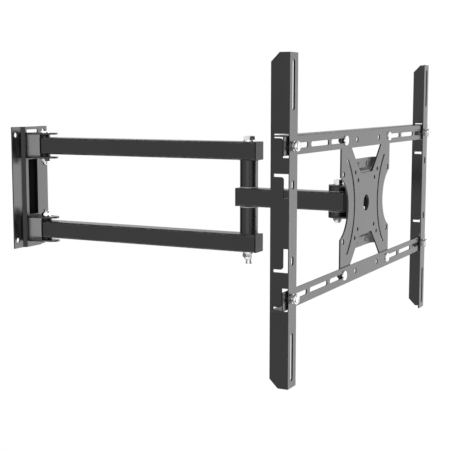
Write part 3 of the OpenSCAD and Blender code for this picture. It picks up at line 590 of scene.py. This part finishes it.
def lock_nut(flats, h, bore):
    """A nut whose top holds a nylon ring under a rolled collar."""
    face, corner = 0.47 * flats, 0.58 * flats
    outside = [(face, 0), *line((face, 0), (corner, 0.08 * flats), 5)[1:],
               *line((corner, 0.62 * h), (face, 0.74 * h), 6),
               (0.44 * flats, 0.76 * h), *arc((0.44 * flats, 0.86 * h), (0.36 * flats, h), 5)]
    inside = [(bore / 2 + 0.3, h), (bore / 2, h - 0.3), (bore / 2, 0.3), (bore / 2 + 0.3, 0)]
    return outside + inside + outside[:1]


def washer(d, bore, h, roll=0.25):
    """A stamped washer, rolled over at its rim."""
    low, high = line((d / 2 - roll, 0), (d / 2, roll), 2), line((d / 2, h - roll), (d / 2 - roll, h), 2)
    return low + high + [(bore / 2, h), (bore / 2, 0)] + low[:1]


def grooved_collar(d, bore, h):
    """A flat washer, a spring washer and a second flat one, stacked."""
    rim, neck = d / 2, d / 2 - 1.1
    outside = [(rim - 0.2, 0), (rim, 0.2), (rim, 0.3 * h), (rim - 0.2, 0.34 * h), (neck, 0.35 * h),
               (neck + 0.3, 0.4 * h), (neck + 0.3, 0.6 * h), (neck, 0.65 * h), (rim - 0.2, 0.66 * h),
               (rim, 0.7 * h), (rim, h - 0.2), (rim - 0.2, h)]
    return outside + [(bore / 2, h), (bore / 2, 0)] + outside[:1]


def rivet(d, head_d, grip, head_h):
    """A rivet's shank with a set head at both ends, centred on its grip."""
    dome = arc((head_d / 2, grip / 2), (0, grip / 2 + head_h), 7)
    return [(r, -z) for r, z in reversed(dome)] + [(d / 2, -grip / 2), (d / 2, grip / 2)] + dome


# %% [markdown]
# ### Seats
#
# Where a fastener sits is read from the frame. A node that holds several solids is split into
# its islands, and each island's box gives one seat: the middle of the box across the axis, and
# a height along the axis from the outline's own size.

# %% Find the solids of a node
def islands(node):
    """The lowest and highest corner of each separate solid of a drawn node."""
    shape = merged_copy(node)
    left, boxes = set(shape.verts), []
    while left:
        ready = [left.pop()]
        low, high = ready[0].co.copy(), ready[0].co.copy()
        while ready:
            vert = ready.pop()
            low = Vector(map(min, low, vert.co))
            high = Vector(map(max, high, vert.co))
            for edge in vert.link_edges:
                other = edge.other_vert(vert)
                if other in left:
                    left.remove(other)
                    ready.append(other)
        boxes.append((low, high))
    shape.free()
    return sorted(boxes, key=lambda box: tuple(box[0]))


def turn_to(direction, spin):
    """The turn that takes +Z to a direction, after a spin of so many degrees about Z."""
    up = Vector((0, 0, 1))
    return (up.rotation_difference(direction) @ Quaternion(up, math.radians(spin))).to_euler()


AROUND = 48
CREASE = math.radians(32)


def turned_piece(node, outline, direction, flats=0.0, pitch=1.0, groove=0.0, thread=(0, 0), cross=(0, 0),
                 spin=0.0):
    """A turned part on each solid of the node. The outline, in mm, points to direction, and
    its far end meets the solid's own end on that side."""
    direction = Vector(direction)
    axis = max(range(3), key=lambda a: abs(direction[a]))
    top = max(z for _, z in outline)
    seats = []
    for low, high in islands(node):
        seat = (low + high) / 2
        end = high[axis] if direction[axis] > 0 else low[axis]
        seat[axis] = end - direction[axis] * top * MM
        seats.append(seat)
    profile = bpy.data.meshes.new(node + "_outline")
    profile.from_pydata([(r * MM, 0, z * MM) for r, z in outline], [], [])
    profile_object = new_piece(node + "_outline", profile)
    mesh = bpy.data.meshes.new(node + "_skin")
    mesh.from_pydata(seats, [], [])
    piece = run_tree(new_piece(node + "_skin", mesh), turning,
                     Outline=profile_object, Steps=AROUND, Across_flats=flats * MM, Pitch=pitch * MM,
                     Groove=groove * MM, Thread_start=thread[0] * MM, Thread_end=thread[1] * MM,
                     Turn=tuple(turn_to(direction, spin)), Cross_span=cross[0] * MM,
                     Cross_depth=cross[1] * MM, Head_top=top * MM, Finish=finishes[slot_of[node]])
    bpy.data.objects.remove(profile_object)
    face_outwards(piece.data)
    piece.data.shade_smooth()
    piece.data.set_sharp_from_angle(angle=CREASE)
    hand_over(piece, node)
    print(f"{piece.name}: {len(seats)} turned, {len(piece.data.polygons)} faces")
    return piece


def face_outwards(mesh):
    """Turns the faces round if the mesh is inside out."""
    shape = bmesh.new()
    shape.from_mesh(mesh)
    bmesh.ops.recalc_face_normals(shape, faces=shape.faces)
    if shape.calc_volume(signed=True) < 0:
        bmesh.ops.reverse_faces(shape, faces=shape.faces)
    shape.to_mesh(mesh)
    shape.free()


# %% [markdown]
# ### Every fastener
#
# Sizes across flats, heads and pitches are those of standard screws: 1.75 mm pitch on a 12 mm
# bolt, 1.5 on 10, 1.25 on 8 and 1 on 6. Lengths come from the drawn parts' own boxes.

# %% Turn the bolts
UP, DOWN = (0, 0, 1), (0, 0, -1)
ROOM, WALL = (0, -1, 0), (0, 1, 0)
LEFT, RIGHT = (-1, 0, 0), (1, 0, 0)
PITCH = {12: 1.75, 10: 1.5, 8: 1.25, 6: 1.0}


def size_along(node, axis):
    """How long the node's first solid is along an axis, in mm."""
    low, high = islands(node)[0]
    return (high[axis] - low[axis]) / MM


def bolt(node, d, head, head_h, thread, direction, **more):
    axis = max(range(3), key=lambda a: abs(direction[a]))
    length = size_along(node, axis) - head_h
    pitch = PITCH[d]
    outline = shank(d, length, thread, pitch) + head
    turned_piece(node, outline, direction, pitch=pitch, groove=0.5 * pitch,
                 thread=(TIP * d - length, thread - length), **more)


for node, way in (("upper_hinge_bolt", UP), ("lower_hinge_bolt", DOWN)):
    bolt(node, 10, round_head(18, 3.0), 3.0, 16, way)
bolt("elbow_bolt", 12, hex_head(18, 7.2), 7.2, 24, UP, flats=18, spin=30)
bolt("swivel_bolt", 8, hex_head(12.8, 6.8), 6.8, 14, UP, flats=12.8, spin=30)
bolt("tilt_bolt", 6, hex_head(10, 4.2), 4.2, 10, LEFT, flats=10)
bolt("rail_bolts", 6, round_head(15, 2.7, 0.7), 2.7, 8, ROOM)
for side in ("left", "right"):
    bolt(side + "_bracket_screws", 6, round_head(14, 4.0, 0.3), 4.0, 10, ROOM, cross=(7.0, 2.0))

# %% Turn the nuts, washers, collars and rivets
for node, way in (("upper_hinge_nut", DOWN), ("lower_hinge_nut", UP)):
    turned_piece(node, lock_nut(16, 8, 10), way, flats=16)
turned_piece("elbow_nut", lock_nut(18, 10.2, 12), DOWN, flats=18, spin=30)
turned_piece("swivel_nut", lock_nut(12.8, 6.8, 8), DOWN, flats=12.8, spin=30)
turned_piece("tilt_nut", lock_nut(10, 5.1, 6), RIGHT, flats=10)
for node in ("rail_nuts", "left_bracket_nuts", "right_bracket_nuts"):
    turned_piece(node, lock_nut(10, 5, 6), WALL, flats=10)
turned_piece("elbow_washers", washer(20.4, 12.4, 2), UP)
turned_piece("swivel_washer", washer(16, 8.4, 1.6), UP)
turned_piece("tilt_washers", washer(12, 6.4, 1.2), RIGHT)
for side in ("left", "right"):
    turned_piece(side + "_bracket_collars", grooved_collar(12.5, 6, 5), ROOM)
turned_piece("plate_rivets", rivet(5, 8, 5.0, 1.2), ROOM)

# %% [markdown]
# ## Weld beads
#
# The hinge brackets are welded to the wall plate, and the round elbow columns to the arms. A
# welder's gun leaves overlapping pools, which show as even ripples. A bead follows the line
# where two parts meet, so a second tree takes that line as a path, spaces points along it,
# and sweeps a small circle whose size pulses once per pool. Only the quarter of the circle
# that stands out of the corner is seen. The coat goes over the weld, so it has the same finish.

# %% The weld bead tree
def bead_tree():
    board, start = new_tree("weld bead", [
        ("Width", "Float"), ("Pool", "Float"), ("Ripple", "Float"), ("Finish", "Material")])
    path = board.add("GeometryNodeMeshToCurve", None, [start.out("Geometry")])
    path = board.add("GeometryNodeResampleCurve", {"mode": "LENGTH"},
                     {"Curve": path, "Length": start.out("Pool") / 6})
    along_path = board.add("GeometryNodeSplineParameter").out("Length")
    pulse = (along_path / start.out("Pool") * math.pi).math("SINE").math("ABSOLUTE")
    gun = board.add("GeometryNodeCurvePrimitiveCircle", None,
                    {"Resolution": 12, "Radius": start.out("Width") / 2})
    bead = board.add("GeometryNodeCurveToMesh", None, {
        "Curve": path, "Profile Curve": gun, "Scale": 1 - start.out("Ripple") * (1 - pulse),
        "Fill Caps": True})
    return finish_tree(board, bead, start.out("Finish"))


welding = bead_tree()
print("weld bead tree:", len(welding.nodes), "nodes")


def weld(name, body, paths, width=3.0):
    """Beads along paths, each a list of points. A path whose last point is its first is a ring."""
    points, edges = [], []
    for path in paths:
        ring = path[0] == path[-1]
        first, count = len(points), len(path) - ring
        points += path[:count]
        edges += [(first + i, first + i + 1) for i in range(count - 1)]
        edges += [(first + count - 1, first)] * ring
    mesh = bpy.data.meshes.new(name)
    mesh.from_pydata(points, edges, [])
    piece = run_tree(new_piece(name, mesh), welding, Width=width * MM, Pool=2.2 * MM, Ripple=0.22,
                     Finish=finishes["black_coat"])
    face_outwards(piece.data)
    piece.data.shade_smooth()
    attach(piece, body)
    print(f"{name}: {len(paths)} beads, {len(piece.data.polygons)} faces")


# %% Weld the brackets and columns
def ring_path(centre, radius):
    x, y, z = centre
    turns = [math.tau * step / AROUND for step in range(AROUND)]
    points = [(x + radius * math.cos(a), y + radius * math.sin(a), z) for a in turns]
    return points + points[:1]


def bracket_welds(node):
    """Upright beads at both sides of a hinge bracket, where it stands on the wall plate."""
    low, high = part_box(node)
    back, inset = high[1], 7 * MM  # the bead stops short of the bracket's ends
    return [[(x, back, low[2] + inset), (x, back, high[2] - inset)] for x in (low[0], high[0])]


def column_weld(node, end):
    """A ring at a column's end, where it meets its arm. end is 0 for its low end, 1 for its top."""
    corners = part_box(node)
    x, y, _ = [(a + b) / 2 for a, b in zip(*corners)]
    radius = (corners[1][0] - corners[0][0]) / 2
    return ring_path((x, y, corners[end][2]), radius)


weld("bracket_welds", "wall_bracket",
     bracket_welds("upper_hinge_bracket") + bracket_welds("lower_hinge_bracket"))
weld("column_welds", "arms",
     [column_weld("elbow_upper_column", 1), column_weld("elbow_lower_column", 0)], width=2.4)

# %% [markdown]
# ## Light, floor and camera
#
# Black satin steel shows its surroundings more than itself, so the light is designed as a set
# of broad soft panels: one on the right that brightens the faces that look into the room, a
# softer one near the camera, and a dim side behind. They are drawn into the sky as round
# patches that fade out, which gives reflections no hard border. What the camera sees past
# the object is plain white, and a pale floor lies well below.

# %% Sky
AMBIENT = 0.16
# Where each panel lies, the angles in degrees at which it is full and gone, and its strength
PANELS = [
    ((0.88, -0.47, -0.10), 24, 48, 0.95),  # the right, for faces that look into the room
    ((0.66, -0.75, -0.10), 6, 30, 3.0),    # a stronger core within it
    ((0.88, 0.45, 0.12), 10, 50, 0.6),     # behind at the right
    ((-0.88, -0.45, 0.15), 12, 50, 1.4),   # near the camera
    ((-0.88, 0.46, -0.10), 22, 50, 0.72),  # behind at the left, for the sides of the arms
    ((0.3, 0.8, 0.75), 10, 45, 0.5),       # high behind
    ((0.0, 0.0, 1.0), 20, 70, 0.6),        # overhead
]


def panel(board, towards, full, fade, strength):
    """A bright patch in the sky: even inside the angle full, and gone outside the angle fade."""
    way = board.add("ShaderNodeTexCoord").out("Generated")
    aim = tuple(Vector(towards).normalized())
    facing = board.add("ShaderNodeVectorMath", {"operation": "DOT_PRODUCT"}, [way, aim]).out("Value")
    return facing.clip(math.cos(math.radians(fade)), math.cos(math.radians(full))) * strength


def make_sky():
    world = bpy.data.worlds.new("studio")
    bpy.context.scene.world = world
    world.use_nodes = True
    world.node_tree.nodes.clear()
    board = Board(world.node_tree)
    glow = AMBIENT
    for patch in PANELS:
        glow = glow + panel(board, *patch)
    light = board.add("ShaderNodeBackground", None, {"Color": (1, 1, 1, 1), "Strength": glow})
    white = board.add("ShaderNodeBackground", None, {"Color": (1, 1, 1, 1), "Strength": 1.0})
    seen = board.add("ShaderNodeLightPath").out("Is Camera Ray")
    both = board.add("ShaderNodeMixShader", None, [seen, light, white])
    board.add("ShaderNodeOutputWorld", None, [both])
    print("sky:", len(PANELS), "panels")


make_sky()

# %% Floor and lamps
FLOOR_DROP = 1.0
FLOOR_SIZE = 2.2


def make_floor():
    low, high = cad_box
    mesh = bpy.data.meshes.new("floor")
    half, z = FLOOR_SIZE / 2, low[2] - FLOOR_DROP
    middle = (low[1] + high[1]) / 2
    mesh.from_pydata([(-half, middle - half, z), (half, middle - half, z),
                      (half, middle + half, z), (-half, middle + half, z)], [], [(0, 1, 2, 3)])
    floor = new_piece("floor", mesh)
    finish, board, shader = new_finish("pale_floor")
    tone = speckle(board, 6.0, 2.0)
    colour = blend_colour(board, tone, (0.80, 0.80, 0.80, 1), (0.84, 0.84, 0.84, 1))
    wire_up(shader, board, Base_Color=colour)
    shader.inputs["Roughness"].default_value = 0.8
    shader.inputs["Emission Color"].default_value = (1, 1, 1, 1)
    shader.inputs["Emission Strength"].default_value = 0.8
    mesh.materials.append(finish)
    print(f"floor: {FLOOR_SIZE} m wide, {FLOOR_DROP} m below the mount")


def softbox(name, place, aim, size, power):
    lamp = bpy.data.lights.new(name, "AREA")
    lamp.shape, lamp.size, lamp.energy = "SQUARE", size, power
    lamp_object = new_piece(name, lamp)
    lamp_object.location = place
    lamp_object.rotation_euler = (Vector(aim) - Vector(place)).to_track_quat("-Z", "Y").to_euler()
    print(f"{name}: {size} m panel, {power} W")


make_floor()
middle = [(a + b) / 2 for a, b in zip(*cad_box)]
softbox("key", (-1.6, -2.6, 2.4), middle, 1.6, 8)
softbox("back", (1.8, 1.4, 1.4), middle, 1.4, 6)

# %% [markdown]
# The camera stands to the left of the screen frame, a little above the arms, and looks along
# them with a long lens, so that the forearm points almost at it.

# %% Camera
EYE = (-1.5284, -1.1848, 0.162)
LOOK = (-62.94, 7.02)  # degrees: round the object, and down
LENS = 82.65


def make_camera():
    camera = bpy.data.cameras.new("camera")
    camera.lens, camera.sensor_width = LENS, 36.0
    camera.clip_start, camera.clip_end = 0.01, 100.0
    camera_object = new_piece("camera", camera)
    camera_object.location = EYE
    camera_object.rotation_euler = Euler((math.radians(90 - LOOK[1]), 0, math.radians(LOOK[0])))
    bpy.context.scene.camera = camera_object
    print(f"camera: {LENS} mm lens, looking down {LOOK[1]} degrees")


make_camera()
bpy.context.scene.view_settings.view_transform = "Standard"
